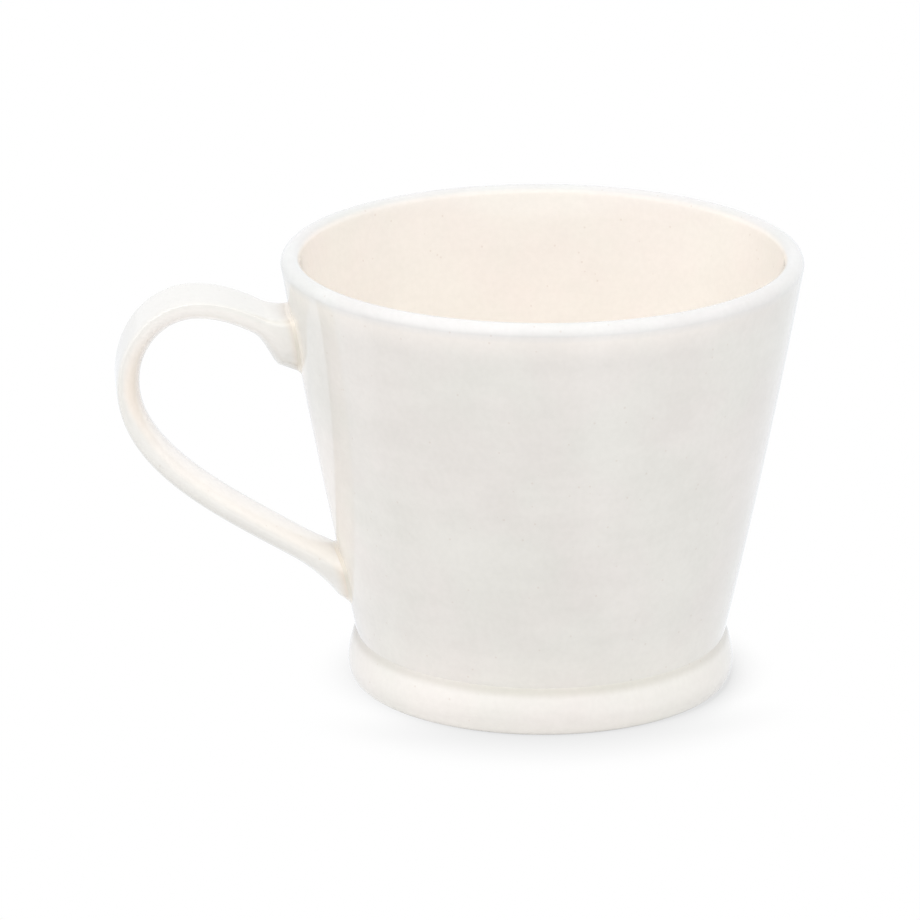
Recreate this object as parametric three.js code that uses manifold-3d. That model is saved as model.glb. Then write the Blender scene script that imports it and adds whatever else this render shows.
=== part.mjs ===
// A glazed ceramic mug: a flared cup, a rolled foot ring luted under it and a strap handle luted to its
// side. Millimetres, +Z up, standing on Z = 0, with the handle towards -X.
import * as THREE from "three";
import { mergeVertices } from "three/addons/utils/BufferGeometryUtils.js";
import Module from "manifold-3d";

const { degToRad, clamp, lerp, smoothstep } = THREE.MathUtils;

// Cup body
const rimRadius = 50; // outside of the lip
const cupHeight = 84.8; // table to the top of the lip
const lipThickness = 3.8; // the lip is a half round of this width
const waistRadius = 35.8; // outside of the wall where the foot ring meets it
const lipLean = degToRad(9.3); // slope of the wall at the lip: less than below, so the wall swells a little
const baseThickness = 5; // clay under the drink
const baseWall = 5.4; // wall at the floor
const floorFillet = 10; // inside corner between wall and floor
const baseChamfer = 1; // lower edge of the cup, hidden in the foot ring

// Foot ring
const footHeight = 8.6; // table to the crease between roll and wall
const rollOverhang = 1.7; // how far the roll stands proud of the wall at the crease
const rollHeight = 3.2; // table to the widest part of the roll
const creaseEdge = 0.25; // thickness of the roll's upper edge, drawn up thin against the wall
const shoulderSlope = degToRad(18.5); // lean of the roll's shoulder at that edge
const shoulderPull = 1.3; // how strongly the shoulder holds its lean
const rollPull = 1.8; // how strongly the roll stands upright at its widest part
const standInset = 1.3; // widest part of the roll in to the edge of the standing flat
const standWidth = 6.8; // the flat ring that touches the table
const ledgeHeight = 3; // shelf inside the roll that carries the cup
const ledgeChamfer = 0.8; // softened inner edges of the ring

// Handle: a pulled strap with a nearly flat outer face and a rounded inner face. A line just under the outer
// face climbs from the upper joint to a crown, turns down to the grip, its outermost point, and runs back to
// the lower joint. The strap's two edges lie beside the line as far as the crown and then move in from it.
const handleStandout = 31.8; // lip to the outermost face of the loop
const crownSetback = 14.7; // grip back to the crown
const upperDrop = 13.6; // top of the lip down to the upper joint
const crownRise = 6.6; // upper joint up to the crown
const gripDrop = 16.4; // crown down to the grip
const lowerRise = 11; // crease up to the lower joint
const upperSlope = degToRad(21.8); // climb of the strap as it leaves the upper joint
const lowerSlope = degToRad(36.7); // fall of the strap as it comes to the lower joint
const upperPull = 4; // how strongly the line holds its direction as it leaves the upper joint
const crownPull = 8.6; // the same as it comes to the crown
const gripPull = 19.7; // the same as it leaves the grip
const lowerPull = 19.5; // the same as it comes to the lower joint
const strapWidth = 14.6;
const faceDepth = 0.6; // how far the outer face stands above the line
const bellyDepth = 4; // how far the inner face hangs below it
const edgeTurn = 2.2; // how far the edges have moved in at the lower joint, where the section is an oval
const facePower = 5; // section of the outer face before the crown: 2 is an ellipse, more is flatter
const bellyPower = 2.2; // the same for the inner face
const upperRoot = 11.8; // thickness of the strap's upper end, pressed out against the wall
const lowerRoot = 8.7; // thickness of its lower end
const upperFlare = 6.5; // length over which the strap swells to its upper end
const lowerFlare = 12.1; // the same for its lower end
const flarePower = 1.7; // how late the swelling comes

// Luting slip
const slipThickness = 0.9; // layer between two clay pieces
const slipBead = 0.6; // how far it is squeezed out past the handle's end
const slipInset = 1; // how far it stays inside the edges of the cup's seat
const clearance = 0.3; // parting gap between neighbouring pieces

// Finishes
const bodyGlaze = { color: 0xefebe3, roughness: 0.16, metalness: 0 };
const footGlaze = { color: 0xf1ece2, roughness: 0.18, metalness: 0 };
const handleGlaze = { color: 0xf2ede5, roughness: 0.16, metalness: 0 };
const seamGlaze = { color: 0xe7dccb, roughness: 0.22, metalness: 0 };

// Fineness of the facets
const turnSteps = 64;
const wallSteps = 9;
const arcSteps = 6;
const strapStep = 2.5; // between two sections of the strap
const sectionSides = 20;
const weldDistance = 1e-3;

const wasm = await Module();
wasm.setup();

const point = (radius, height) => new THREE.Vector2(radius, height);

// The point a distance away from another, along a slope.
function along(from, slope, distance) {
  return point(from.x + Math.cos(slope) * distance, from.y + Math.sin(slope) * distance);
}

// A wall between two heights: a parabola in height that reaches its upper end at the lip's slope.
function bowedWall(low, high) {
  const rise = high.y - low.y;
  const controlRadius = high.x - (Math.tan(lipLean) * rise) / 2;
  return (height) => {
    const share = (height - low.y) / rise;
    const rest = 1 - share;
    return rest * rest * low.x + 2 * rest * share * controlRadius + share * share * high.x;
  };
}

// Points down or up a wall, from one height to another.
function wallPoints(wall, from, to) {
  return Array.from({ length: wallSteps + 1 }, (_, i) => {
    const height = lerp(from, to, i / wallSteps);
    return point(wall(height), height);
  });
}

// The lip is a half round that both faces of the wall run into.
const lipRadius = lipThickness / 2;
const lipCentre = point(rimRadius - lipRadius, cupHeight - lipRadius);
const lipSide = point(Math.cos(lipLean), -Math.sin(lipLean)).multiplyScalar(lipRadius);
const lipOuter = lipCentre.clone().add(lipSide);
const lipInner = lipCentre.clone().sub(lipSide);

const footRadius = waistRadius + rollOverhang;
const standRadius = footRadius - standInset;
const standInner = standRadius - standWidth;
const underside = ledgeHeight + slipThickness + 2 * clearance;
const floorHeight = underside + baseThickness;
const outerWall = bowedWall(point(waistRadius, footHeight), lipOuter);
const floorCorner = point(outerWall(floorHeight) - baseWall, floorHeight);
const innerWall = bowedWall(floorCorner, lipInner);

// An outline of (radius, height) points turned about the mug's axis.
function revolve(outline) {
  return new THREE.LatheGeometry(outline, turnSteps).rotateX(Math.PI / 2);
}

function cupBody() {
  const filletTop = floorHeight + floorFillet;
  const lip = new THREE.EllipseCurve(
    lipCentre.x, lipCentre.y, lipRadius, lipRadius, -lipLean, Math.PI - lipLean);
  const fillet = new THREE.QuadraticBezierCurve(
    point(innerWall(filletTop), filletTop),
    floorCorner,
    point(floorCorner.x - floorFillet, floorHeight));
  return revolve([
    point(0, underside),
    point(outerWall(underside) - baseChamfer, underside),
    ...wallPoints(outerWall, underside + baseChamfer, lipOuter.y),
    ...lip.getPoints(arcSteps).slice(1, -1),
    ...wallPoints(innerWall, lipInner.y, filletTop),
    ...fillet.getPoints(arcSteps).slice(1),
    point(0, floorHeight),
  ]);
}

// The roll swells from a sloping shoulder to its widest part and turns under on a quarter ellipse. Behind it
// a rebate takes the cup's base.
function footRing() {
  const creaseRadius = waistRadius + clearance;
  const shoulder = point(creaseRadius + creaseEdge, footHeight);
  const under = new THREE.EllipseCurve(standRadius, rollHeight, standInset, rollHeight, -Math.PI / 2, 0);
  const over = new THREE.CubicBezierCurve(
    point(footRadius, rollHeight),
    point(footRadius, rollHeight + rollPull),
    along(shoulder, shoulderSlope - Math.PI / 2, shoulderPull),
    shoulder);
  return revolve([
    point(standInner, 0),
    ...under.getPoints(arcSteps),
    ...over.getPoints(arcSteps).slice(1),
    point(creaseRadius, footHeight),
    point(outerWall(ledgeHeight) + clearance, ledgeHeight),
    point(standInner, ledgeHeight),
    point(standInner - ledgeChamfer, ledgeHeight - ledgeChamfer),
    point(standInner - ledgeChamfer, ledgeChamfer),
    point(standInner, 0),
  ]);
}

// A flat ring of slip on the shelf, with a half-round inner edge where it is wiped.
function footSlip() {
  const halfThickness = slipThickness / 2;
  const middle = ledgeHeight + clearance + halfThickness;
  const inner = standInner + slipInset;
  const outer = outerWall(underside) - baseChamfer - slipInset;
  const wiped = new THREE.EllipseCurve(
    inner, middle, halfThickness, halfThickness, Math.PI / 2, (3 * Math.PI) / 2);
  return revolve([
    point(outer, middle - halfThickness),
    point(outer, middle + halfThickness),
    ...wiped.getPoints(arcSteps),
    point(outer, middle - halfThickness),
  ]);
}

// The strap's line in the plane of the loop. It runs on into the wall at both ends, to be trimmed.
const upperHeight = cupHeight - upperDrop;
const lowerHeight = footHeight + lowerRise;
const upperJoint = point(outerWall(upperHeight), upperHeight);
const crownHeight = upperHeight + crownRise;
const grip = point(rimRadius + handleStandout - faceDepth, crownHeight - gripDrop);
const crown = point(grip.x - crownSetback, crownHeight);
const lowerJoint = point(outerWall(lowerHeight), lowerHeight);
const rootDepth = Math.max(upperRoot, lowerRoot);

function strapLine() {
  const start = along(upperJoint, upperSlope, -rootDepth);
  const leave = along(upperJoint, upperSlope, upperPull);
  const arrive = along(lowerJoint, lowerSlope, lowerPull);
  const end = along(lowerJoint, lowerSlope, -rootDepth);
  return new THREE.Path()
    .moveTo(start.x, start.y)
    .lineTo(upperJoint.x, upperJoint.y)
    .bezierCurveTo(leave.x, leave.y, crown.x - crownPull, crown.y, crown.x, crown.y)
    .absellipse(crown.x, grip.y, crownSetback, gripDrop, Math.PI / 2, 0, true)
    .bezierCurveTo(grip.x, grip.y - gripPull, arrive.x, arrive.y, lowerJoint.x, lowerJoint.y)
    .lineTo(end.x, end.y);
}

const line = strapLine();
const lineLength = line.getLength();
const crownAt = line.getCurveLengths()[1]; // along the line, from its start

// How much each face swells at a distance from one of the strap's joints.
function swelling(distance, root, reach) {
  const left = 1 - clamp(distance / reach, 0, 1);
  return ((root - faceDepth - bellyDepth) / 2) * left ** flarePower;
}

const rounded = (value, power) => Math.sign(value) * Math.abs(value) ** (2 / power);

// A loft of sections along part of the strap's line, grown on every side, with closed ends. Each section is
// two halves of superellipses that meet at the strap's edges.
function strapLoft(from, to, grow) {
  const steps = Math.ceil((to - from) / strapStep);
  const positions = [];
  const faces = [];
  for (let i = 0; i <= steps; i++) {
    const distance = lerp(from, to, i / steps);
    const middle = line.getPoint(distance / lineLength);
    const heading = line.getTangent(distance / lineLength);
    const upperSwelling = swelling(distance - rootDepth, upperRoot, upperFlare);
    const lowerSwelling = swelling(lineLength - distance - rootDepth, lowerRoot, lowerFlare);
    const added = upperSwelling + lowerSwelling + grow;
    const halfWidth = strapWidth / 2 + grow;
    const pastCrown = smoothstep(distance, crownAt, lineLength - rootDepth);
    const turn = edgeTurn * pastCrown;
    const outerPower = lerp(facePower, bellyPower, pastCrown);
    for (let j = 0; j < sectionSides; j++) {
      const angle = (2 * Math.PI * j) / sectionSides;
      const outside = Math.cos(angle) > 0;
      const power = outside ? outerPower : bellyPower;
      const depth = (outside ? faceDepth + turn : bellyDepth - turn) + added;
      const through = depth * rounded(Math.cos(angle), power) - turn;
      const across = halfWidth * rounded(Math.sin(angle), power);
      positions.push(heading.y * through - middle.x, across, heading.x * through + middle.y);
    }
  }
  const corner = (i, j) => i * sectionSides + (j % sectionSides);
  for (let j = 0; j < sectionSides; j++) {
    for (let i = 0; i < steps; i++) {
      faces.push(corner(i, j), corner(i, j + 1), corner(i + 1, j + 1));
      faces.push(corner(i, j), corner(i + 1, j + 1), corner(i + 1, j));
    }
    if (j > 1) {
      faces.push(corner(0, 0), corner(0, j), corner(0, j - 1));
      faces.push(corner(steps, 0), corner(steps, j - 1), corner(steps, j));
    }
  }
  return new THREE.BufferGeometry()
    .setAttribute("position", new THREE.Float32BufferAttribute(positions, 3))
    .setIndex(faces);
}

function solidOf(geometry) {
  const bare = geometry.clone();
  bare.deleteAttribute("normal");
  bare.deleteAttribute("uv");
  const welded = mergeVertices(bare, weldDistance);
  return new wasm.Manifold(new wasm.Mesh({
    numProp: 3,
    vertProperties: welded.attributes.position.array,
    triVerts: new Uint32Array(welded.index.array),
  }));
}

function geometryOf(solid) {
  const mesh = solid.getMesh();
  const geometry = new THREE.BufferGeometry()
    .setAttribute("position", new THREE.BufferAttribute(mesh.vertProperties, 3))
    .setIndex(new THREE.BufferAttribute(mesh.triVerts, 1));
  geometry.computeVertexNormals();
  return geometry;
}

// The space inside the outer wall, grown outwards, which trims the handle and the slip to the wall's curve.
function wallCore(grow) {
  const side = wallPoints(outerWall, 0, lipOuter.y);
  side.forEach((corner) => {
    corner.x += grow;
  });
  return solidOf(revolve([point(0, 0), ...side, point(0, lipOuter.y)]));
}

function handle() {
  const strap = solidOf(strapLoft(0, lineLength, 0));
  return geometryOf(strap.subtract(wallCore(slipThickness + 2 * clearance)));
}

// The layer of slip at one end of the handle, between the wall and the strap.
function handleSlip(from, to) {
  const root = solidOf(strapLoft(from, to, slipBead));
  const layer = wallCore(slipThickness + clearance).subtract(wallCore(clearance));
  return geometryOf(root.intersect(layer));
}

const mug = new THREE.Group();
const aroundAxis = new THREE.Group();
aroundAxis.position.x = handleStandout / 2; // origin midway between lip and grip
mug.add(aroundAxis);

function addPiece(name, geometry, finish) {
  const piece = new THREE.Mesh(geometry, new THREE.MeshStandardMaterial(finish));
  piece.name = name;
  aroundAxis.add(piece);
}

const upperEnd = rootDepth + upperFlare;
const lowerEnd = lineLength - rootDepth - lowerFlare;
addPiece("cup_body", cupBody(), bodyGlaze);
addPiece("foot_ring", footRing(), footGlaze);
addPiece("handle", handle(), handleGlaze);
addPiece("foot_slip", footSlip(), seamGlaze);
addPiece("upper_handle_slip", handleSlip(0, upperEnd), seamGlaze);
addPiece("lower_handle_slip", handleSlip(lowerEnd, lineLength), seamGlaze);

export default mug;
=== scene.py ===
import math

import bpy
import numpy as np
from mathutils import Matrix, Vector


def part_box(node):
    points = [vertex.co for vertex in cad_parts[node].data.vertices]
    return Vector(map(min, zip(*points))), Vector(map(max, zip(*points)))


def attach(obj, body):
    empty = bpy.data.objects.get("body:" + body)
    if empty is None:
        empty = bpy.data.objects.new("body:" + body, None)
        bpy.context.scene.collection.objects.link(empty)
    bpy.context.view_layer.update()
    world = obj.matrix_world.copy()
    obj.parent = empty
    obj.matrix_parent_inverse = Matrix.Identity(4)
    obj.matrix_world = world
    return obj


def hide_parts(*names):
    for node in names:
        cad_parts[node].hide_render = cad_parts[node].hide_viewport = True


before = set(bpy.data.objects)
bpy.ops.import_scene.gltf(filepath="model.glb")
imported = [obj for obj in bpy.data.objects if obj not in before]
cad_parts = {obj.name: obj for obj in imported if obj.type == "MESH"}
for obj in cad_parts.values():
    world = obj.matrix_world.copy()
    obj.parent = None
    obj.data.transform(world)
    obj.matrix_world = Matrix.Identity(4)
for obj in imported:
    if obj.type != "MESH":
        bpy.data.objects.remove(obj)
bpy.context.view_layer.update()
mm = 0.001
print("frame loaded:", sorted(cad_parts))

# Places read from the frame
cupLow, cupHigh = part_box("cup_body")
footLow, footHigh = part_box("foot_ring")
strapLow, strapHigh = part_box("handle")
axisX = (cupLow.x + cupHigh.x) / 2  # the cup's own axis
rimRadius = (cupHigh.x - cupLow.x) / 2
cupHeight = cupHigh.z
underside = cupLow.z
footHeight = footHigh.z  # table to the crease
footRadius = (footHigh.x - footLow.x) / 2
gripReach = axisX - strapLow.x  # axis to the outermost face of the loop
strapWidth = strapHigh.y - strapLow.y


# Mesh tools

# Rows of points, each row a closed ring; the rows close on each other, or each end closes on a pole point.
def ringMesh(name, rows, poles=None):
    steps, around = rows.shape[:2]
    index = np.arange(steps * around).reshape(steps, around)
    if poles is None:
        index = np.vstack([index, index[:1]])
    onward = np.roll(index, -1, axis=1)
    quads = np.stack([index[:-1], onward[:-1], onward[1:], index[1:]], axis=-1).reshape(-1, 4)
    points = rows.reshape(-1, 3)
    corners, starts = quads.ravel(), np.arange(len(quads)) * 4
    if poles is not None:
        first, last = len(points), len(points) + 1
        points = np.vstack([points, poles])
        startFan = np.stack([onward[0], index[0], np.full(around, first)], axis=-1)
        endFan = np.stack([index[-1], onward[-1], np.full(around, last)], axis=-1)
        fans = np.vstack([startFan, endFan])
        starts = np.concatenate([starts, len(corners) + np.arange(len(fans)) * 3])
        corners = np.concatenate([corners, fans.ravel()])
    mesh = bpy.data.meshes.new(name)
    mesh.vertices.add(len(points))
    mesh.vertices.foreach_set("co", points.astype(np.float32).ravel())
    mesh.loops.add(len(corners))
    mesh.loops.foreach_set("vertex_index", corners.astype(np.int32))
    mesh.polygons.add(len(starts))
    mesh.polygons.foreach_set("loop_start", starts.astype(np.int32))
    mesh.polygons.foreach_set("use_smooth", np.ones(len(starts), dtype=bool))
    mesh.update(calc_edges=True)
    mesh.validate()
    piece = bpy.data.objects.new(name, mesh)
    bpy.context.scene.collection.objects.link(piece)
    return piece


# Shares from 0 to 1 for the points of a piece, row by row, which its finish reads by name. A pole gets the
# mean of the row beside it.
def paintRows(piece, name, rows):
    poles = [rows[0].mean(), rows[-1].mean()]
    values = np.concatenate([rows.ravel(), poles])[:len(piece.data.vertices)].astype(np.float32)
    piece.data.attributes.new(name, "FLOAT", "POINT").data.foreach_set("value", values)


# A smooth step: 0 at the first value, 1 at the second, 3tt - 2ttt between them.
def eased(value, low, high):
    t = np.clip((value - low) / (high - low), 0, 1)
    return t * t * (3 - 2 * t)


# Angles of points spread evenly round a turn.
def evenTurn(count):
    return np.arange(count) * 2 * np.pi / count


# A profile of radii and heights turned about the cup's axis; radii and heights may change round the turn.
def turned(radius, height, around):
    radius, height, angle = np.broadcast_arrays(radius, height, evenTurn(around))
    return np.stack([axisX + radius * np.cos(angle), radius * np.sin(angle), height], axis=-1)


# Points on a quadratic curve: squared weights of its two ends and twice the product for its control point.
def bent(start, control, end, steps):
    t = np.linspace(0, 1, steps)[:, None]
    return (1 - t) ** 2 * np.array(start) + 2 * t * (1 - t) * np.array(control) + t ** 2 * np.array(end)


# Points on a cubic curve by its four control points.
def swept(start, leave, arrive, end, steps):
    t = np.linspace(0, 1, steps)[:, None]
    corners = [np.array(corner) for corner in (start, leave, arrive, end)]
    weights = [(1 - t) ** 3, 3 * t * (1 - t) ** 2, 3 * t ** 2 * (1 - t), t ** 3]
    return sum(weight * corner for weight, corner in zip(weights, corners))


# Points on part of an ellipse about a centre.
def arc(centre, reach, fromAngle, toAngle, steps):
    t = np.linspace(fromAngle, toAngle, steps)
    return np.stack([centre[0] + reach[0] * np.cos(t), centre[1] + reach[1] * np.sin(t)], axis=-1)


# Cup
cup = {
    "lipThickness": 3.8 * mm,
    "waistRadius": 35.8 * mm,  # outside of the wall at the crease
    "lipLean": math.radians(9.3),  # slope of the wall at the lip
    "baseThickness": 5 * mm,
    "baseWall": 5.4 * mm,
    "floorFillet": 10 * mm,
    "baseChamfer": 1 * mm,
    "handWaves": 0.08 * mm,  # unevenness left by the maker's hand
    "waveShapes": (  # of each wave: times round the cup, drift with height, start and weight
        (2, 1.3, 0, 1),
        (3, -2.1, 0.8, 0.7),
        (5, 3.4, 2.1, 0.5),
        (0, 7, 0.4, 0.35),
    ),
    "paleEdgeReach": 0.5 * mm,  # how far below the lip the glaze is thin
    "paleReach": 6 * mm,  # how far below the lip the outer wall is paler, painted light
    "paleShare": 0.43,
    "paleFade": (0.3, 0.9),  # cosines of the turn between which that goes, away from the handle
    "lowReach": 12 * mm,  # how far above the crease it is a little paler too, painted light
    "lowShare": 0.25,
    "lowFade": (-0.955, -0.99),  # cosines of the turn between which that goes, under the handle
    "innerStart": 0.75,  # share of the inside's colour just below the lip; more of it further down is painted light
    "innerFull": 0.5,  # share of the cup's height at which that colour is full
    "sideEdge": (0.6, 0.95),  # cosines of the turn between which it is full from the lip on, at both sides, painted light
    "around": 288,
    "wallSteps": 64,
    "lipSteps": 25,
    "filletSteps": 18,
    "discSteps": 14,
}


# Radius at a height: a parabola from the low point to the high one, which it meets at the lip's slope.
def bowedWall(low, high):
    rise = high[1] - low[1]
    middle = high[0] - math.tan(cup["lipLean"]) * rise / 2

    def radiusAt(height):
        share = (height - low[1]) / rise
        return (1 - share) ** 2 * low[0] + 2 * share * (1 - share) * middle + share ** 2 * high[0]

    return radiusAt


lipRadius = cup["lipThickness"] / 2
lipCentre = np.array([rimRadius - lipRadius, cupHeight - lipRadius])
lipSide = lipRadius * np.array([math.cos(cup["lipLean"]), -math.sin(cup["lipLean"])])
lipOuter, lipInner = lipCentre + lipSide, lipCentre - lipSide
floorHeight = underside + cup["baseThickness"]
outerWall = bowedWall((cup["waistRadius"], footHeight), lipOuter)
floorCorner = np.array([outerWall(floorHeight) - cup["baseWall"], floorHeight])
innerWall = bowedWall(floorCorner, lipInner)


# Hand unevenness between 0 and 1: a half, plus half the weighted mean of a few slow sines round the turn that
# drift with height.
def handWave(angle, height):
    rise = height / cupHeight * np.pi
    times, drift, start, weight = np.array(cup["waveShapes"]).T[:, :, None, None]
    waves = weight * np.sin(times * angle + drift * rise + start)
    return 0.5 + waves.sum(axis=0) / weight.sum() / 2


# Wall, lip, inside and underside in one profile from pole to pole, drawn in by the hand waves.
def makeCup():
    filletTop = floorHeight + cup["floorFillet"]
    baseRadius = outerWall(underside) - cup["baseChamfer"]
    up = np.linspace(underside + cup["baseChamfer"], lipOuter[1], cup["wallSteps"])
    down = np.linspace(lipInner[1], filletTop, cup["wallSteps"])
    disc = np.linspace(0, 1, cup["discSteps"] + 1)[1:]
    lean = cup["lipLean"]
    lip = arc(lipCentre, (lipRadius, lipRadius), -lean, np.pi - lean, cup["lipSteps"])[1:-1]
    fillet = bent((innerWall(filletTop), filletTop), floorCorner,
                  (floorCorner[0] - cup["floorFillet"], floorHeight), cup["filletSteps"])
    under = np.stack([baseRadius * disc, np.full(disc.size, underside)], axis=-1)
    outside = np.stack([outerWall(up), up], axis=-1)
    inside = np.vstack([
        np.stack([innerWall(down), down], axis=-1),
        fillet[1:],
        np.stack([fillet[-1, 0] * disc[::-1], np.full(disc.size, floorHeight)], axis=-1)[1:],
    ])
    profile = np.vstack([under, outside, lip, inside])
    radius, height = profile[:, :1], profile[:, 1:]
    angle = evenTurn(cup["around"])
    share = np.clip((height - footHeight) / footHeight, 0, 1)  # the waves come in above the crease
    radius = radius - cup["handWaves"] * share * handWave(angle, height)
    rows = turned(radius, height, cup["around"])
    poles = np.array([[axisX, 0, underside], [axisX, 0, floorHeight]])
    piece = ringMesh("cup_shell", rows, poles)
    turn = np.cos(angle)
    # The inside gets the inner colour, a warmer glaze and painted light; it grows from below the lip
    # downwards and is full at the sides, painted light against the shade in the cup.
    start = cup["innerStart"] + (1 - cup["innerStart"]) * eased(np.abs(turn), *cup["sideEdge"])
    overLip = eased(lip[:, :1], (lipCentre[0] + lipInner[0]) / 2, lipInner[0])
    downWall = start + (1 - start) * eased(inside[:, 1:], lipInner[1], cupHeight * cup["innerFull"])
    paleEdge = eased(height, lipOuter[1] - cup["paleEdgeReach"], lipCentre[1])
    paleEdge[-len(inside) - len(lip):-len(inside)] = 1 - overLip
    paleEdge[-len(inside):] = 0
    # Paler bands of the outer wall under the lip and above the crease: painted light.
    underLip = eased(outside[:, 1:], lipOuter[1] - cup["paleReach"], lipOuter[1]) * cup["paleShare"]
    underLip = underLip * (1 - eased(turn, *cup["paleFade"]))
    aboveCrease = eased(outside[:, 1:], footHeight + cup["lowReach"], footHeight) * cup["lowShare"]
    aboveCrease = aboveCrease * (1 - eased(turn, *cup["lowFade"]))
    onWall = np.maximum(underLip, aboveCrease)
    onUnder = np.zeros((len(under), angle.size))
    paintRows(piece, "inner", np.vstack([onUnder, onWall, overLip * start, downWall]))
    paintRows(piece, "edge", paleEdge * np.ones(angle.size))
    return piece


cupPiece = makeCup()
print("cup:", len(cupPiece.data.polygons), "faces")

# Foot
foot = {
    "rollHeight": 3.2 * mm,  # table to the widest part of the roll
    "creaseEdge": 0.25 * mm,
    "shoulderSlope": math.radians(18.5),
    "shoulderPull": 1.3 * mm,
    "rollPull": 1.8 * mm,
    "standInset": 1.3 * mm,
    "standWidth": 6.8 * mm,
    "innerRound": 0.8 * mm,
    "ledgeHeight": 3 * mm,
    "clearance": 0.3 * mm,
    "poolStart": 0.24,  # share of the shoulder hidden under the pooled glaze of the crease
    "poolRise": 0.7 * mm,  # how far the pooled glaze climbs the wall
    "poolFade": 7 * mm,  # height at which the crease's colour, pooled glaze and painted shade, has gone
    "paleEdgeReach": 3.8 * mm,  # how far up from the table it is paler: thinner glaze, and painted light against the shade by the table
    "sideEdge": (0.25, 0.8),  # cosines of the turn between which the ring's sides begin
    "sideLight": 0.5,  # how much paler the ring's sides are, painted light
    "sidePool": 0.65,  # share of the crease's colour left there
    "wallBite": 0.1 * mm,  # how deep its upper edge goes into the wall
    "beadReach": 1.3 * mm,  # fillet under the cup's base
    "around": 288,
    "rollSteps": 26,
    "poolSteps": 11,
    "flatSteps": 8,
}


# Section of the ring, closed on itself: the pooled crease, the shoulder, a quarter ellipse under the roll,
# the standing flat, the inner edge with its fillet against the cup's base, and the shelf and rebate behind.
def makeFoot():
    roll, ledge, slope = foot["rollHeight"], foot["ledgeHeight"], foot["shoulderSlope"]
    standRadius = footRadius - foot["standInset"]
    standInner = standRadius - foot["standWidth"]
    inner = standInner - foot["innerRound"]
    shoulder = np.array([cup["waistRadius"] + foot["clearance"] + foot["creaseEdge"], footHeight])
    lean = np.array([math.sin(slope), -math.cos(slope)])
    over = swept(shoulder, shoulder + lean * foot["shoulderPull"], (footRadius, roll + foot["rollPull"]),
                 (footRadius, roll), foot["rollSteps"])
    over = over[int(foot["poolStart"] * foot["rollSteps"]):]
    under = arc((standRadius, roll), (foot["standInset"], roll), 0, -np.pi / 2, foot["rollSteps"])
    poolTop = footHeight + foot["poolRise"]
    start = np.array([outerWall(poolTop) - foot["wallBite"], poolTop])
    slant = (over[0, 0] - over[1, 0]) / (over[0, 1] - over[1, 1])
    corner = (over[0, 0] - (over[0, 1] - footHeight) * slant, footHeight)
    pool = bent(start, corner, over[0], foot["poolSteps"])
    flat = np.linspace(standRadius, standInner, foot["flatSteps"])
    edge = arc((standInner, foot["innerRound"]), (foot["innerRound"], foot["innerRound"]),
               -np.pi / 2, -np.pi, foot["poolSteps"])
    bead = bent((inner, ledge - foot["innerRound"]), (inner, underside),
                (inner - foot["beadReach"], underside + foot["wallBite"]), foot["poolSteps"])
    shelf = [(standInner, underside + foot["wallBite"]), (standInner, ledge),
             (outerWall(ledge) + foot["clearance"], ledge)]
    profile = np.vstack([
        pool, over[1:], under[1:],
        np.stack([flat[1:-1], np.zeros(flat.size - 2)], axis=-1),
        edge, bead, shelf,
    ])[::-1]
    radius, height = profile[:, :1], profile[:, 1:]
    piece = ringMesh("foot_roll", turned(radius, height, foot["around"]))
    outside = eased(radius, standRadius - foot["innerRound"], standRadius)
    inCrease = eased(height, foot["poolFade"], footHeight)
    atTable = eased(height, foot["paleEdgeReach"], 0)
    angle = evenTurn(foot["around"])
    side = eased(np.abs(np.cos(angle)), *foot["sideEdge"])
    # Paler at the table's edge, thinner glaze and painted light, and on the ring's sides, painted light only.
    paleEdge = np.maximum(atTable, (1 - inCrease) * side * foot["sideLight"])
    # Darker colour in the crease: pooled glaze and painted shade, less of it on the ring's sides.
    paintRows(piece, "inner", inCrease * outside * (1 - (1 - foot["sidePool"]) * side))
    paintRows(piece, "edge", paleEdge * outside)
    standing = 1 - eased(height, 0, foot["clearance"])
    paintRows(piece, "bare", standing * (1 - outside) * np.ones(angle.size))
    return piece


footPiece = makeFoot()
print("foot:", len(footPiece.data.polygons), "faces")

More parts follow.
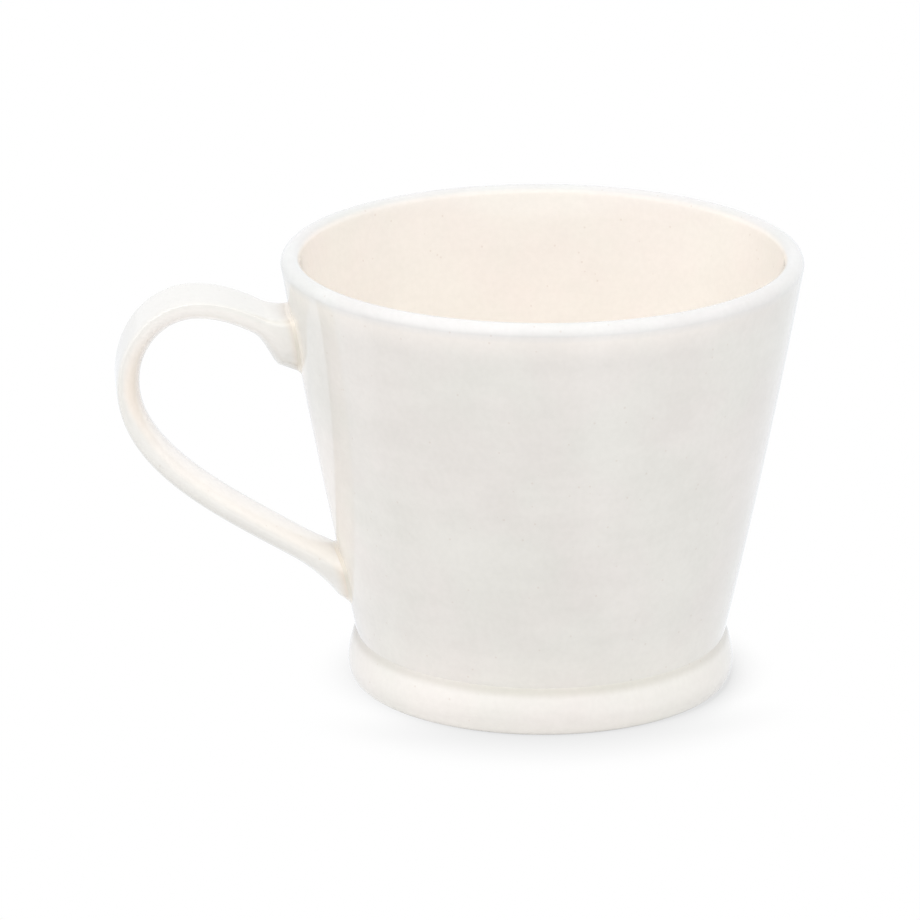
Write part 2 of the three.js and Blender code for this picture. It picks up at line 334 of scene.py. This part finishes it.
# Handle
strap = {
    "faceDepth": 0.6 * mm,  # outer face above the line
    "bellyDepth": 4 * mm,  # inner face below it
    "edgeTurn": 2.2 * mm,  # how far the edges have moved in at the lower joint
    "facePower": 5,
    "bellyPower": 2.2,
    "crownSetback": 14.7 * mm,  # grip back to the crown
    "upperDrop": 13.6 * mm,  # top of the lip down to the upper joint
    "crownRise": 6.6 * mm,
    "gripDrop": 16.4 * mm,
    "lowerRise": 11 * mm,  # crease up to the lower joint
    "upperSlope": math.radians(21.8),
    "lowerSlope": math.radians(36.7),
    "upperPull": 4 * mm,
    "crownPull": 8.6 * mm,
    "gripPull": 19.7 * mm,
    "lowerPull": 19.5 * mm,
    "upperRoot": 11.8 * mm,
    "lowerRoot": 8.7 * mm,
    "upperFlare": 6.5 * mm,
    "lowerFlare": 12.1 * mm,
    "flarePower": 1.7,
    "rootDepth": 11.8 * mm,  # how far the line runs on into the wall
    "seat": 0.25 * mm,  # how deep the trimmed ends sit in the wall
    "upperPoolReach": 2.6 * mm,  # how far the pooled glaze colours the strap from the wall
    "lowerPoolReach": 4.5 * mm,
    "upperPool": 0.6,  # depth of that colour
    "lowerPool": 0.75,
    "poolFade": (-0.6, 0),  # cosines between which it comes in at the lower joint
    "bellyEdge": (0.1, -0.3),  # cosines of the section's angle between which the inner face begins
    "bellyTurn": 0.3,  # how much further round it begins past the grip
    "bellyTurnReach": 12 * mm,
    "crownLight": 0.45,  # how much paler the inner face is under the crown, painted light
    "upperShadingReach": 14 * mm,  # how far from the upper joint the outer face is paler and the inner face darker: painted light and shade
    "lowerLightReach": 26 * mm,  # how far from the lower joint it is paler, painted light
    "bellyFade": (0, -1),  # cosines between which that comes in on the inner face
    "faceLight": 0.35,  # share of it on the outer face
    "endLightReach": 9 * mm,  # how far from the lower joint it is paler nearly all round, painted light
    "endFade": (0.2, -0.4),  # cosines between which it comes in, so that the low side is lifted less
    "upperShade": 0.5,  # how much darker the inner face is at the upper joint, painted shade
    "lowBelly": (-0.3, -0.8),  # cosines between which the middle of the inner face begins
    "lowShade": 0.9,  # how much darker it is there, painted shade
    "lowShadeReach": 22 * mm,  # how far from the upper joint that goes
    "gripSpan": 18 * mm,  # how far from the grip the inner face is warmer
    "gripWarmth": 0.42,
    "lineSteps": 400,  # points on each stretch of its line
    "halvings": 40,  # for the search of where it meets the wall
    "along": 240,
    "around": 96,
}


# The line just under the strap's outer face: straight out of the wall, a curve up to the crown, a quarter
# ellipse down to the grip, a curve back and straight into the wall. Gives its points, their distances, and
# the distances of the crown and the grip.
def faceLine():
    steps = strap["lineSteps"]
    upperHeight = cupHeight - strap["upperDrop"]
    lowerHeight = footHeight + strap["lowerRise"]
    upper = np.array([outerWall(upperHeight), upperHeight])
    lower = np.array([outerWall(lowerHeight), lowerHeight])
    crownHeight = upperHeight + strap["crownRise"]
    grip = np.array([gripReach - strap["faceDepth"], crownHeight - strap["gripDrop"]])
    crown = np.array([grip[0] - strap["crownSetback"], crownHeight])
    climb = np.array([math.cos(strap["upperSlope"]), math.sin(strap["upperSlope"])])
    fall = np.array([math.cos(strap["lowerSlope"]), math.sin(strap["lowerSlope"])])
    line = np.vstack([
        np.linspace(upper - climb * strap["rootDepth"], upper, steps)[:-1],
        swept(upper, upper + climb * strap["upperPull"], crown - (strap["crownPull"], 0), crown, steps)[:-1],
        arc((crown[0], grip[1]), (strap["crownSetback"], strap["gripDrop"]), np.pi / 2, 0, steps)[:-1],
        swept(grip, grip - (0, strap["gripPull"]), lower + fall * strap["lowerPull"], lower, steps)[:-1],
        np.linspace(lower, lower - fall * strap["rootDepth"], steps),
    ])
    gaps = np.hypot(*np.diff(line, axis=0).T)
    distances = np.concatenate([[0], np.cumsum(gaps)])
    return line, distances, distances[2 * (steps - 1)], distances[3 * (steps - 1)]


strapLine, strapDistance, crownAt, gripAt = faceLine()
strapLength = strapDistance[-1]
strapHeading = np.gradient(strapLine, strapDistance, axis=0)


# A point of the strap's skin at a distance along its line and an angle round its section: the halves of two
# superellipses, a flat one outside and a rounded one inside, both deeper towards the joints. Past the crown
# the edges between them move in and the outer one grows as round as the inner.
def strapSkin(distance, angle, grow=0):
    middle = [np.interp(distance, strapDistance, strapLine[:, k]) for k in (0, 1)]
    heading = [np.interp(distance, strapDistance, strapHeading[:, k]) for k in (0, 1)]
    fromUpper = np.clip((distance - strap["rootDepth"]) / strap["upperFlare"], 0, 1)
    fromLower = np.clip((strapLength - distance - strap["rootDepth"]) / strap["lowerFlare"], 0, 1)
    thickness = strap["faceDepth"] + strap["bellyDepth"]
    added = grow + (strap["upperRoot"] - thickness) / 2 * (1 - fromUpper) ** strap["flarePower"]
    added = added + (strap["lowerRoot"] - thickness) / 2 * (1 - fromLower) ** strap["flarePower"]
    outside = np.cos(angle) > 0
    pastCrown = eased(distance, crownAt, strapLength - strap["rootDepth"])
    turn = strap["edgeTurn"] * pastCrown
    outerPower = strap["facePower"] + (strap["bellyPower"] - strap["facePower"]) * pastCrown
    power = 2 / np.where(outside, outerPower, strap["bellyPower"])
    depth = np.where(outside, strap["faceDepth"] + turn, strap["bellyDepth"] - turn) + added
    through = depth * np.sign(np.cos(angle)) * np.abs(np.cos(angle)) ** power - turn
    across = (strapWidth / 2 + grow) * np.sign(np.sin(angle)) * np.abs(np.sin(angle)) ** power
    reach = middle[0] - heading[1] * through
    places = np.broadcast_arrays(axisX - reach, across, middle[1] + heading[0] * through)
    return np.stack(places, axis=-1)


# Distance along the strap at which its skin passes the wall, by halving; the wall is moved out by offset.
def wallCrossing(angle, outside, inside, offset):
    for _ in range(strap["halvings"]):
        middle = (outside + inside) / 2
        skin = strapSkin(middle, angle)
        gap = np.hypot(skin[:, 0] - axisX, skin[:, 1]) - outerWall(skin[:, 2]) - offset
        outside = np.where(gap > 0, middle, outside)
        inside = np.where(gap > 0, inside, middle)
    return (outside + inside) / 2


# Both ends of every line along the strap, where it meets the wall moved out by offset.
def strapEnds(angle, offset):
    none = np.zeros(angle.size)
    upperOut = none + strap["rootDepth"] + strap["upperFlare"]
    lowerOut = none + strapLength - strap["rootDepth"] - strap["lowerFlare"]
    return (wallCrossing(angle, upperOut, none, offset),
            wallCrossing(angle, lowerOut, none + strapLength, offset))


# Lines along the skin, each trimmed where it meets the wall, with an end point inside the wall to close on.
def makeHandle():
    angle = evenTurn(strap["around"])
    upper, lower = strapEnds(angle, -strap["seat"])
    facing = np.cos(angle)  # 1 in the middle of the outer face, -1 in the middle of the inner
    share = np.linspace(0, 1, strap["along"])[:, None]
    distance = upper + (lower - upper) * share
    rows = strapSkin(distance, angle)
    poles = np.stack([rows[0].mean(axis=0), rows[-1].mean(axis=0)])
    piece = ringMesh("strap_handle", rows, poles)
    upperPool = eased(distance - upper, strap["upperPoolReach"], 0) * strap["upperPool"]
    lowerPool = eased(lower - distance, strap["lowerPoolReach"], 0) * strap["lowerPool"]
    lowerPool = lowerPool * eased(facing, *strap["poolFade"])
    bellyTurn = strap["bellyTurn"] * eased(distance, gripAt, gripAt + strap["bellyTurnReach"])
    # Paler inner face and darker outer face, a lit and a shaded copy of the glaze: painted light and shade.
    belly = eased(facing + bellyTurn, *strap["bellyEdge"])
    atGrip = eased(np.abs(distance - gripAt), strap["gripSpan"], 0) * strap["gripWarmth"]
    paintRows(piece, "warm", np.maximum(np.maximum(upperPool, lowerPool), atGrip * belly))
    nearUpper = eased(distance - upper, strap["upperShadingReach"], 0)
    nearLower = eased(lower - distance, strap["lowerLightReach"], 0)
    atEnd = eased(lower - distance, strap["endLightReach"], 0) * eased(facing, *strap["endFade"])
    # Painted shade: the inner face darker near the upper joint and along its middle.
    lowBelly = eased(distance - upper, strap["lowShadeReach"], 0) * eased(facing, *strap["lowBelly"])
    unshaded = (1 - strap["upperShade"] * nearUpper) * (1 - strap["lowShade"] * lowBelly)
    paintRows(piece, "inner", belly * unshaded)
    # Painted light: the strap paler towards the lower joint, on the outer face by the upper joint, and on the
    # inner face under the crown.
    underCrown = eased(distance, gripAt, crownAt) * (1 - nearUpper) * belly * (1 - lowBelly)
    onFace = np.maximum(nearUpper * (1 - belly), nearLower) * strap["faceLight"]
    onBelly = np.maximum(nearLower * eased(facing, *strap["bellyFade"]), atEnd)
    paintRows(piece, "edge", np.maximum(np.maximum(onFace, onBelly), underCrown * strap["crownLight"]))
    return piece


handlePiece = makeHandle()
print("handle:", len(handlePiece.data.polygons), "faces")

# Seams
seam = {
    "climb": 0.95 * mm,  # how far the pooled glaze runs up the strap
    "spread": 0.55 * mm,  # how far it spreads on the wall
    "bite": 0.12 * mm,  # how deep its edges go into the strap and the wall
    "bow": 0.5,  # hollow of its face: 0 is straight, 1 a sharp corner
    "middle": (1.15, 0.2),  # shares of the joint's half height between which its darker part begins, painted shade under the joint
    "lowEnd": (-0.2, -0.8),  # and between which it fades again
    "lowFade": 0.5,  # how much it fades
    "lowWarmth": 0.3,  # share of the warm colour left there
    "paleReach": 6 * mm,  # how far from the joints the wall is paler, painted light
    "paleFrom": (0.3, -0.3),  # cosines of the section's angle at which that begins, upper and lower
    "patchLow": 34 * mm,  # heights of the pale patch on the wall above the lower joint, painted light
    "patchHigh": 42 * mm,
    "patchReach": 26 * mm,  # how far it goes from the upright line between them
    "patchShare": 0.95,
    "around": 120,
    "steps": 10,
}


# A hollow fillet round one end of the strap: from the strap to the wall on a curve drawn towards the corner,
# and back through the clay.
def makeSeam(name, end):
    angle = evenTurn(seam["around"])
    corner = strapSkin(strapEnds(angle, 0)[end], angle)
    high = strapSkin(strapEnds(angle, seam["climb"])[end], angle, -seam["bite"])
    deep = strapSkin(strapEnds(angle, -seam["bite"])[end], angle, -seam["bite"])
    outward = corner - corner.mean(axis=0)
    outward = outward / np.linalg.norm(outward, axis=1, keepdims=True)
    low = corner + outward * seam["spread"]
    radial = low[:, :2] - (axisX, 0)
    onWall = outerWall(low[:, 2:]) - seam["bite"]
    low[:, :2] = (axisX, 0) + radial / np.linalg.norm(radial, axis=1, keepdims=True) * onWall
    control = corner * seam["bow"] + (high + low) / 2 * (1 - seam["bow"])
    t = np.linspace(0, 1, seam["steps"])[:, None, None]
    face = (1 - t) ** 2 * high + 2 * t * (1 - t) * control + t ** 2 * low
    rows = np.concatenate([face, deep[None]])
    piece = ringMesh(name, rows)
    lowest, highest = corner[:, 2].min(), corner[:, 2].max()
    level = (2 * rows[..., 2] - lowest - highest) / (highest - lowest)
    # Painted shade on the seam's lower part; its pale base is painted light against the shade in the corner,
    # its warm colour pooled glaze.
    shade = eased(level, *seam["middle"]) * (1 - seam["lowFade"] * eased(level, *seam["lowEnd"]))
    paintRows(piece, "warm", 1 - (1 - seam["lowWarmth"]) * shade)
    paintRows(piece, "inner", shade)
    return piece


# Painted light on the wall beside the joints, paler against the shade in the corners: a share that falls
# smoothly with the distance to the nearest point of either joint's outline, its outer face left out, and
# another, the pale patch, with the distance to an upright line above the lower joint.
def paleWall():
    mesh = cupPiece.data
    points = np.empty(len(mesh.vertices) * 3, dtype=np.float32)
    mesh.vertices.foreach_get("co", points)
    outline = []
    for end, cosine in enumerate(seam["paleFrom"]):
        start = math.acos(cosine)
        angle = np.linspace(start, 2 * np.pi - start, seam["around"] // 2)
        outline.append(strapSkin(strapEnds(angle, 0)[end], angle))
    heights = np.linspace(seam["patchLow"], seam["patchHigh"], seam["steps"])
    patch = np.stack([axisX - outerWall(heights), np.zeros(heights.size), heights], axis=-1)
    fromJoints, fromPatch = [np.linalg.norm(points.reshape(-1, 1, 3) - marks, axis=-1).min(axis=1)
                             for marks in (np.vstack(outline), patch)]
    pale = np.maximum(eased(fromJoints, seam["paleReach"], 0),
                      eased(fromPatch, seam["patchReach"], 0) * seam["patchShare"])
    inner = mesh.attributes["inner"].data
    shares = np.empty(len(mesh.vertices), dtype=np.float32)
    inner.foreach_get("value", shares)
    inner.foreach_set("value", np.maximum(shares, pale))


upperSeam = makeSeam("upper_seam", 0)
lowerSeam = makeSeam("lower_seam", 1)
paleWall()
print("seams:", len(upperSeam.data.polygons), "faces each")


# Finishes

# A socket that adds a Math node for each operator it meets.
class Wire:
    def __init__(self, tree, socket):
        self.tree = tree
        self.socket = socket

    def math(self, operation, first, second):
        return self.tree.node("ShaderNodeMath", {"operation": operation}, {0: first, 1: second})

    def __add__(self, other):
        return self.math("ADD", self, other)

    def __sub__(self, other):
        return self.math("SUBTRACT", self, other)

    def __rsub__(self, other):
        return self.math("SUBTRACT", other, self)

    def __mul__(self, other):
        return self.math("MULTIPLY", self, other)

    __radd__ = __add__
    __rmul__ = __mul__


# The node tree of one finish. Any node comes from node(): its type, its settings and its sockets.
class Tree:
    def __init__(self, owner):
        owner.use_nodes = True
        self.nodes = owner.node_tree.nodes
        self.links = owner.node_tree.links
        self.nodes.clear()

    def node(self, kind, settings=None, sockets=None, output=0):
        made = self.nodes.new(kind)
        for key, value in (settings or {}).items():
            setattr(made, key, value)
        for key, value in (sockets or {}).items():
            if isinstance(value, Wire):
                self.links.new(value.socket, made.inputs[key])
            else:
                made.inputs[key].default_value = value
        return Wire(self, made.outputs[output]) if made.outputs else made

    def blend(self, share, first, second, how="MIX"):
        return self.node("ShaderNodeMix", {"data_type": "RGBA", "blend_type": how},
                         {0: share, 6: first, 7: second}, 2)

    def ramp(self, value, low, high):
        return self.node("ShaderNodeMapRange", {"interpolation_type": "SMOOTHSTEP"},
                         {"Value": value, "From Min": low, "From Max": high})

    def painted(self, name):
        return self.node("ShaderNodeAttribute", {"attribute_name": name}, None, "Fac")

    def noise(self, place, scale, detail, roughness):
        return self.node("ShaderNodeTexNoise", None,
                         {"Vector": place, "Scale": scale, "Detail": detail, "Roughness": roughness})

    def stretched(self, place, factors):
        return self.node("ShaderNodeVectorMath", {"operation": "MULTIPLY"}, {0: place, 1: factors})


# A colour written as 0 to 255, as the shader wants it.
def tint(*levels):
    shares = [level / 255 for level in levels]
    return (*[s / 12.92 if s <= 0.04045 else ((s + 0.055) / 1.055) ** 2.4 for s in shares], 1)


# Colours and textures that all finishes share. A noise has its waves per metre, detail and roughness; an edge
# has the values between which a pattern goes from none to full.
glaze = {
    "bare": tint(226, 214, 196),
    "warm": tint(226, 196, 156),
    "speck": tint(176, 146, 124),
    "speckShare": 0.16,
    "speckScale": 330,
    "speckEdge": (0.09, 0.05),
    "rosy": (1, 0.988, 0.985, 1),
    "mossy": (0.992, 1, 0.988, 1),
    "dark": (0.955, 0.955, 0.952, 1),
    "grainDark": (0.98, 0.98, 0.978, 1),
    "innerClouds": 0.5,  # share of the clouds on the inside
    "clouds": (62, 5, 0.6),
    "cloudShare": 0.7,  # the rest of the mottling is strokes
    "cloudEdge": (0.36, 0.64),
    "strokes": (70, 3, 0.5),
    "strokeStretch": (1, 1, 5),
    "hues": (45, 3, 0.5),
    "hueEdge": (0.38, 0.62),
    "grain": (900, 2, 0.5),
    "grainEdge": (0.3, 0.7),
    "ripple": (45, 2, 0.5),
    "rippleStrength": 0.1,
    "rippleDepth": 0.4 * mm,
    "gloss": 0.05,  # roughness of the glaze
    "bareRough": 0.5,  # what bare clay adds to it
    "ior": 1.6,
}
# Colours of each slot, plain and where inner and edge are painted, and its shares of clouds and warmth; much
# of the inner and edge colours is painted light and shade
looks = {
    # Body: inner is the inside's warmer glaze with painted light, and the painted light beside the joints,
    # under the lip and above the crease; edge is the thin glaze at the lip.
    "body_glaze": {"base": tint(223, 220, 216), "inner": tint(247, 241, 235), "edge": tint(223, 222, 221),
                   "clouds": 1.0, "warmth": 0.3},
    # Foot: inner is the crease's pooled glaze and painted shade; edge is thinner glaze and painted light at
    # the table and on the sides.
    "foot_glaze": {"base": tint(226, 222, 218), "inner": tint(207, 203, 195), "edge": tint(236, 233, 228),
                   "clouds": 0.9, "warmth": 0.12},
    # Handle: its darker base and its paler inner and edge colours are painted shade and light.
    "handle_glaze": {"base": tint(226, 224, 220), "inner": tint(242, 238, 234), "edge": tint(254, 251, 247),
                     "clouds": 0.4, "warmth": 0.5},
    # Seams: the pale base is painted light in the corners, inner the painted shade on their lower part.
    "slip_seam": {"base": tint(254, 249, 242), "inner": tint(222, 218, 209), "edge": tint(254, 249, 242),
                  "clouds": 0.4, "warmth": 0.22},
}


# Glaze: a base colour, warmer where it pools; its inner and edge colours go where they are painted, as thin
# glaze at the lip and elsewhere mostly as painted light and shade; slow clouds of rosy and mossy hue, level
# strokes and fine grain multiply it, and a few specks lie on it.
def glazeFinish(name, look):
    material = bpy.data.materials.new(name)
    tree = Tree(material)
    place = tree.node("ShaderNodeTexCoord", output="Object")
    clouds = tree.noise(place, *glaze["clouds"])
    hues = tree.noise(place, *glaze["hues"])
    strokes = tree.noise(tree.stretched(place, glaze["strokeStretch"]), *glaze["strokes"])
    grain = tree.noise(place, *glaze["grain"])
    specks = tree.node("ShaderNodeTexVoronoi", None, {"Vector": place, "Scale": glaze["speckScale"]})
    colour = tree.blend(tree.painted("inner"), look["base"], look["inner"])
    colour = tree.blend(tree.painted("edge"), colour, look["edge"])
    colour = tree.blend(tree.painted("warm") * look["warmth"], colour, glaze["warm"])
    mottle = clouds * glaze["cloudShare"] + strokes * (1 - glaze["cloudShare"])
    mottle = tree.ramp(mottle, *glaze["cloudEdge"]) * look["clouds"]
    mottle = mottle * (1 - (1 - glaze["innerClouds"]) * tree.painted("inner"))
    colour = tree.blend(mottle, colour, glaze["dark"], "MULTIPLY")
    colour = tree.blend(tree.ramp(grain, *glaze["grainEdge"]), colour, glaze["grainDark"], "MULTIPLY")
    hue = tree.blend(tree.ramp(hues, *glaze["hueEdge"]), glaze["rosy"], glaze["mossy"])
    colour = tree.blend(look["clouds"], colour, hue, "MULTIPLY")
    specks = tree.ramp(specks, *glaze["speckEdge"]) * glaze["speckShare"]
    colour = tree.blend(specks, colour, glaze["speck"])
    colour = tree.blend(tree.painted("bare"), colour, glaze["bare"])
    roughness = glaze["gloss"] + glaze["bareRough"] * tree.painted("bare")
    bump = tree.node("ShaderNodeBump", None, {
        "Height": tree.noise(place, *glaze["ripple"]),
        "Strength": glaze["rippleStrength"], "Distance": glaze["rippleDepth"]})
    surface = tree.node("ShaderNodeBsdfPrincipled", None, {
        "Base Color": colour, "Roughness": roughness, "IOR": glaze["ior"], "Normal": bump})
    tree.node("ShaderNodeOutputMaterial", None, {"Surface": surface})
    return material


finishes = {name: glazeFinish(name, look) for name, look in looks.items()}
slots = {cupPiece: ("cup_body", "body_glaze"), footPiece: ("foot_ring", "foot_glaze"),
         handlePiece: ("handle", "handle_glaze"), upperSeam: ("upper_handle_slip", "slip_seam"),
         lowerSeam: ("lower_handle_slip", "slip_seam")}
for piece, (node, slot) in slots.items():
    piece.data.materials.append(finishes[slot])
    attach(piece, "root")
    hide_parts(node)
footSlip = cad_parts["foot_slip"]
footSlip.data.materials.clear()
footSlip.data.materials.append(finishes["slip_seam"])
print("finishes done")

# Studio
white = (1, 1, 1, 1)
studio = {
    "skyLevel": 0.59,  # light from all round
    "floorReach": 6.0,
    "floorColour": tint(236, 236, 236),
    "mirrorColour": (1.06, 1.09, 1.13, 1),  # the surroundings in the glaze's reflections
    "shadowReach": 0.02,  # how far the contact shadow looks for what stands on the floor
    "shadowSamples": 16,
    "shadowLeft": 0.1,  # depth of the contact shadow beside the mug
    "shadowRight": 0.26,
    "shadowEdge": (0.25, 0.6),  # how far closed in the floor is where it begins and is full
    "shadowFront": 0.35,  # depth of the contact shadow in front of the mug
    "shadowTurn": (-0.02, -0.038),  # where the one turns into the other
    "frontEdge": (-0.01, -0.036),  # where the front of the floor begins and is full
    "frontDark": 0.4,  # how much less of that part is mirrored
    "frontRight": (0.01, 0.032),  # from the cup's axis, where that fades towards the right
    "frontFade": 0.95,  # how much of it is gone there
    "backEdge": (0.005, 0.04),  # where the strip of floor behind the mug begins and is full
    "backSide": (0.051, 0.026),  # from the cup's axis, where it ends sideways and is full
    "backSpread": 0.5,  # how fast it grows wider to the back
    "backDark": 0.08,  # how much less of that strip is mirrored, so that the outlines stay clear
    "lens": 223,
    "sensor": 36,
    "clip": (0.01, 50),
    "cameraPlace": (-0.1122, -1.0396, 0.3847),  # from the cup's axis
    "cameraAim": (-0.01563, 0.00145, 0.04283),
}
lamps = {
    "front": {"place": (0.0, -1.0, 1.75), "aim": (0, 0, 0.05), "size": (1.5, 1.5), "level": 3.64},
    "left": {"place": (-1.5, -0.35, 0.9), "aim": (0, 0, 0.05), "size": (1.6, 1.5), "level": 1.1},
    "right": {"place": (1.5, -0.35, 0.9), "aim": (0, 0, 0.05), "size": (1.6, 1.5), "level": 0.62},
}


# Rays that see the plain white background instead of the light level.
def seen(tree):
    path = [tree.node("ShaderNodeLightPath", output=ray)
            for ray in ("Is Camera Ray", "Is Glossy Ray", "Is Transmission Ray")]
    return tree.node("ShaderNodeMath", {"operation": "ADD", "use_clamp": True},
                     {0: path[0] + path[1], 1: path[2]})


# The floor is lit plainly, but camera and mirror rays see it white with a contact shadow; mirrors see its
# front part and a strip behind the mug darker.
def makeFloor():
    reach = studio["floorReach"]
    mesh = bpy.data.meshes.new("floor")
    mesh.from_pydata([(-reach, -reach, 0), (reach, -reach, 0), (reach, reach, 0), (-reach, reach, 0)],
                     [], [(0, 1, 2, 3)])
    floor = bpy.data.objects.new("floor", mesh)
    bpy.context.scene.collection.objects.link(floor)
    material = bpy.data.materials.new("floor_white")
    tree = Tree(material)
    mirror = tree.node("ShaderNodeLightPath", output="Is Glossy Ray")
    lit = tree.node("ShaderNodeBsdfDiffuse", None, {"Color": studio["floorColour"]})
    openSky = tree.node("ShaderNodeAmbientOcclusion", {"samples": studio["shadowSamples"]},
                        {"Distance": studio["shadowReach"]}, "AO")
    place = tree.node("ShaderNodeTexCoord", output="Object")
    depth = tree.node("ShaderNodeSeparateXYZ", None, {0: place}, "Y")
    across = tree.node("ShaderNodeSeparateXYZ", None, {0: place}, "X")
    fromAxis = across - axisX
    front = tree.ramp(depth, *studio["frontEdge"])
    front = front * (1 - tree.ramp(fromAxis, *studio["frontRight"]) * studio["frontFade"])
    aside = tree.node("ShaderNodeMath", {"operation": "ABSOLUTE"}, {0: fromAxis})
    aside = aside - depth * studio["backSpread"]
    behind = tree.ramp(depth, *studio["backEdge"]) * tree.ramp(aside, *studio["backSide"])
    mirrored = 1 - mirror * (front * studio["frontDark"] + behind * studio["backDark"])
    colour = tree.blend(mirror, white, studio["mirrorColour"])
    closedIn = 1 - openSky
    rightward = tree.ramp(across, axisX - footRadius, axisX + footRadius)
    sideDepth = studio["shadowLeft"] + rightward * (studio["shadowRight"] - studio["shadowLeft"])
    beside = tree.ramp(closedIn, *studio["shadowEdge"]) * sideDepth
    inFront = tree.ramp(depth, *studio["shadowTurn"])
    shadow = beside + inFront * (closedIn * studio["shadowFront"] - beside)
    bright = tree.node("ShaderNodeEmission", None, {"Color": colour, "Strength": mirrored * (1 - shadow)})
    surface = tree.node("ShaderNodeMixShader", None, {0: seen(tree), 1: lit, 2: bright})
    tree.node("ShaderNodeOutputMaterial", None, {"Surface": surface})
    mesh.materials.append(material)


# Puts a lamp or the camera in its place, turned towards its aim.
def aimed(thing, place, aim):
    direction = Vector(aim) - Vector(place)
    thing.location = place
    thing.rotation_euler = direction.to_track_quat("-Z", "Y").to_euler()
    bpy.context.scene.collection.objects.link(thing)


# Light from all round, and soft lamps that neither the camera nor the glaze sees.
def makeLights():
    world = bpy.data.worlds.new("studio")
    tree = Tree(world)
    mirror = tree.node("ShaderNodeLightPath", output="Is Glossy Ray")
    level = studio["skyLevel"] + seen(tree) * (1 - studio["skyLevel"])
    colour = tree.blend(mirror, white, studio["mirrorColour"])
    sky = tree.node("ShaderNodeBackground", None, {"Color": colour, "Strength": level})
    tree.node("ShaderNodeOutputWorld", None, {"Surface": sky})
    bpy.context.scene.world = world
    for name, lamp in lamps.items():
        light = bpy.data.lights.new(name, "AREA")
        light.shape = "RECTANGLE"
        light.size, light.size_y = lamp["size"]
        light.energy = lamp["level"] * math.pi * light.size * light.size_y
        holder = bpy.data.objects.new(name, light)
        holder.visible_camera = holder.visible_glossy = False
        aimed(holder, lamp["place"], lamp["aim"])


# The camera stands where the photograph was taken from.
def makeCamera():
    camera = bpy.data.cameras.new("camera")
    camera.lens = studio["lens"]
    camera.sensor_width = studio["sensor"]
    camera.clip_start, camera.clip_end = studio["clip"]
    holder = bpy.data.objects.new("camera", camera)
    axis = np.array([axisX, 0, 0])
    aimed(holder, tuple(axis + studio["cameraPlace"]), tuple(axis + studio["cameraAim"]))
    bpy.context.scene.camera = holder


makeFloor()
makeLights()
makeCamera()
bpy.context.scene.view_settings.view_transform = "Standard"
print("studio ready")
